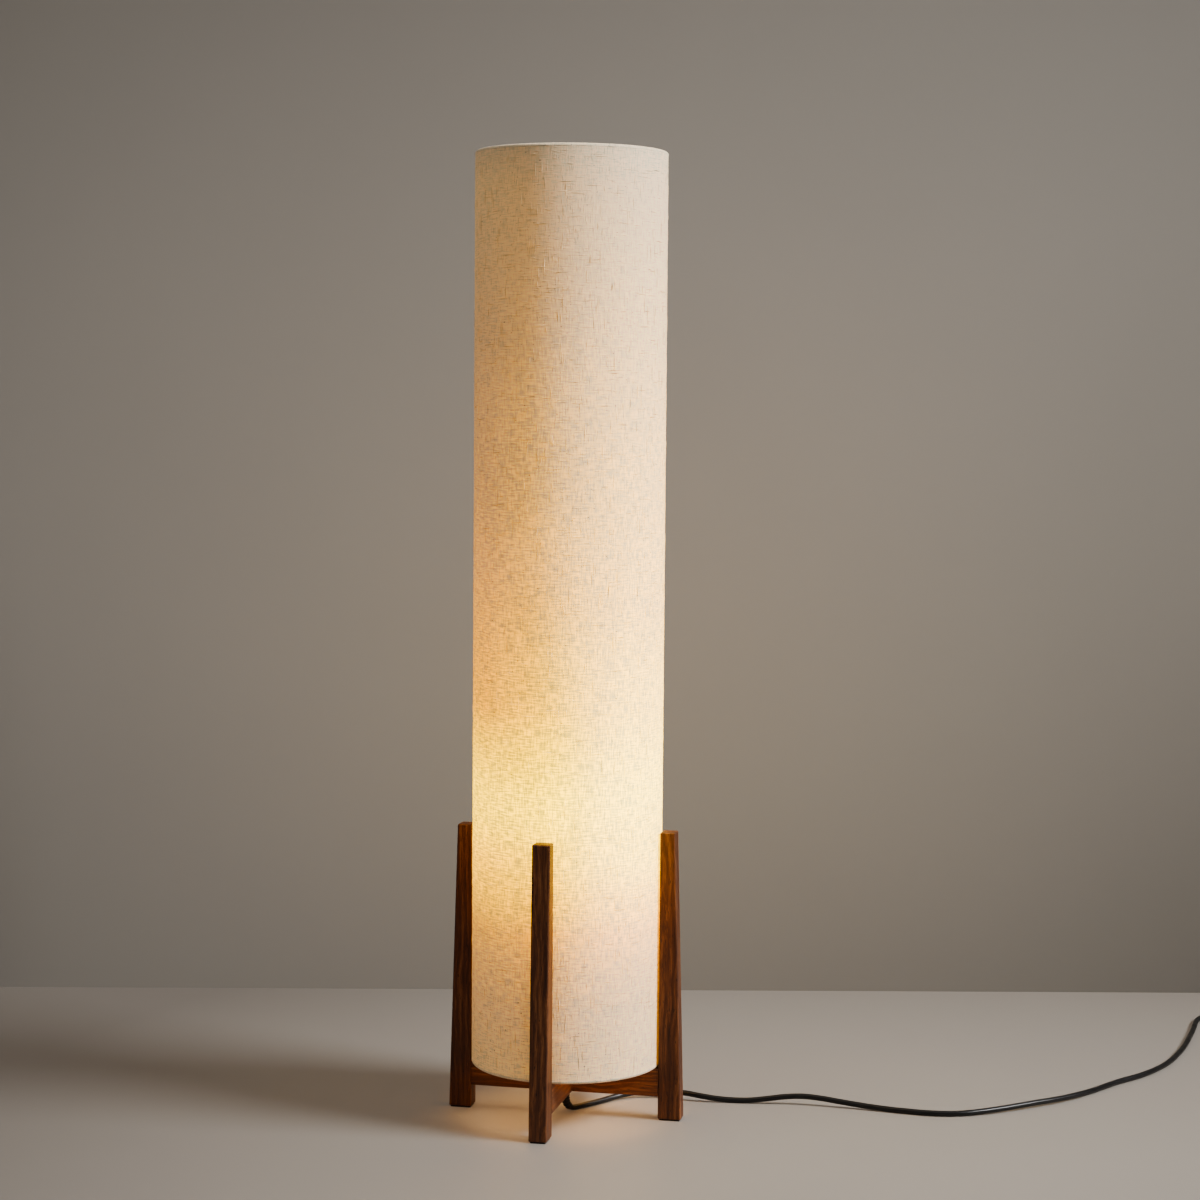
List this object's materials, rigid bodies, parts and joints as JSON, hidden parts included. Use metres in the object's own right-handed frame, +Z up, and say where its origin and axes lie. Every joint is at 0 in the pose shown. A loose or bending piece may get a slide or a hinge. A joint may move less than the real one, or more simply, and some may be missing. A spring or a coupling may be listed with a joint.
{
  "type": "floor lamp",
  "caption": "Tall cylindrical linen column floor lamp standing between tapered wooden legs on halved cross rails, with a screw-in bulb, an in-line rocker switch and a mains plug.",
  "frame": {"origin": "on the floor under the middle of the shade, at the underside of the felt pads", "axes": "+Z up along the shade; the legs stand on the X and Y axes, with the front leg on -Y; the flex runs off on the +X side"},
  "size_m": [0.908, 0.7408, 1.0114],
  "materials": {
    "walnut": "oiled, fine grain along each piece",
    "felt": "pressed felt",
    "zinc_steel": "zinc plated",
    "black_steel": "satin black enamel",
    "phenolic": "moulded white thermoset",
    "porcelain": "glazed",
    "brass": "bare, rolled",
    "core_brown": "extruded insulation",
    "core_blue": "extruded insulation",
    "flex_pvc": "extruded PVC sheath",
    "cap_aluminium": "rolled thread",
    "black_glass": "fused glass insulator",
    "bulb_plastic": "moulded polycarbonate",
    "board_white": "solder resist on aluminium",
    "phosphor": "silicone with phosphor",
    "opal": "frosted diffuser",
    "linen": "slubbed plain weave, bonded to the liner",
    "liner_sheet": "frosted lampshade sheet",
    "switch_plastic": "injection moulded, satin"
  },
  "bodies": {
    "base": {"leg_front": "walnut", "leg_right": "walnut", "leg_back": "walnut", "leg_left": "walnut", "rail_x": "walnut", "rail_y": "walnut", "foot_pads": "felt", "nut_washer": "zinc_steel", "rod_nut": "zinc_steel", "threaded_rod": "zinc_steel", "rail_plate": "black_steel", "stem_tube": "black_steel", "holder_cap": "phenolic", "lock_screw": "zinc_steel", "contact_block": "porcelain", "holder_shell": "phenolic", "screw_shell": "brass", "centre_contact": "brass", "terminal_screws": "brass", "live_core": "core_brown", "neutral_core": "core_blue", "inner_flex": "flex_pvc", "cord_grip": "flex_pvc", "cord_lead": "flex_pvc", "switch_base": "switch_plastic", "switch_cover": "switch_plastic", "switch_screws": "zinc_steel", "switch_contacts": "brass", "rocker_pin": "zinc_steel", "cord_link": "flex_pvc", "cord_coil": "flex_pvc", "coil_tie": "flex_pvc", "cord_tail": "flex_pvc", "plug_relief": "flex_pvc", "plug_body": "flex_pvc", "plug_pins": "brass", "pin_sleeves": "flex_pvc"},
    "shade": {"ring_bottom": "zinc_steel", "ring_top": "zinc_steel", "shade_liner": "liner_sheet", "shade_fabric": "linen", "shade_lap": "linen", "binding_bottom": "linen", "binding_top": "linen"},
    "bulb_contact": {"bulb_tip": "zinc_steel"},
    "bulb": {"bulb_insulator": "black_glass", "bulb_cap": "cap_aluminium", "bulb_collar": "bulb_plastic", "led_board": "board_white", "led_chips": "phosphor", "bulb_globe": "opal"},
    "rocker": {"rocker": "switch_plastic"}
  },
  "joints": [
    {"name": "shade_lift", "type": "slide", "parent": "base", "child": "shade", "axis": [0, 0, 1], "range_m": [0, 0.35]},
    {"name": "bulb_rise", "type": "slide", "parent": "base", "child": "bulb_contact", "axis": [0, 0, 1], "range_m": [0, 0.01815]},
    {"name": "bulb_turn", "type": "hinge", "parent": "bulb_contact", "child": "bulb", "pos_m": [0, 0, 0.23], "axis": [0, 0, 1], "range_deg": [0, 1800]},
    {"name": "switch_rock", "type": "hinge", "parent": "base", "child": "rocker", "pos_m": [0.702, 0.53, 0.0134], "axis": [-1, 0, 0], "range_deg": [0, 14]}
  ],
  "couplings": [
    {"joint": "bulb_rise", "follows": "bulb_turn", "m_per_rad": 0.00057757}
  ]
}
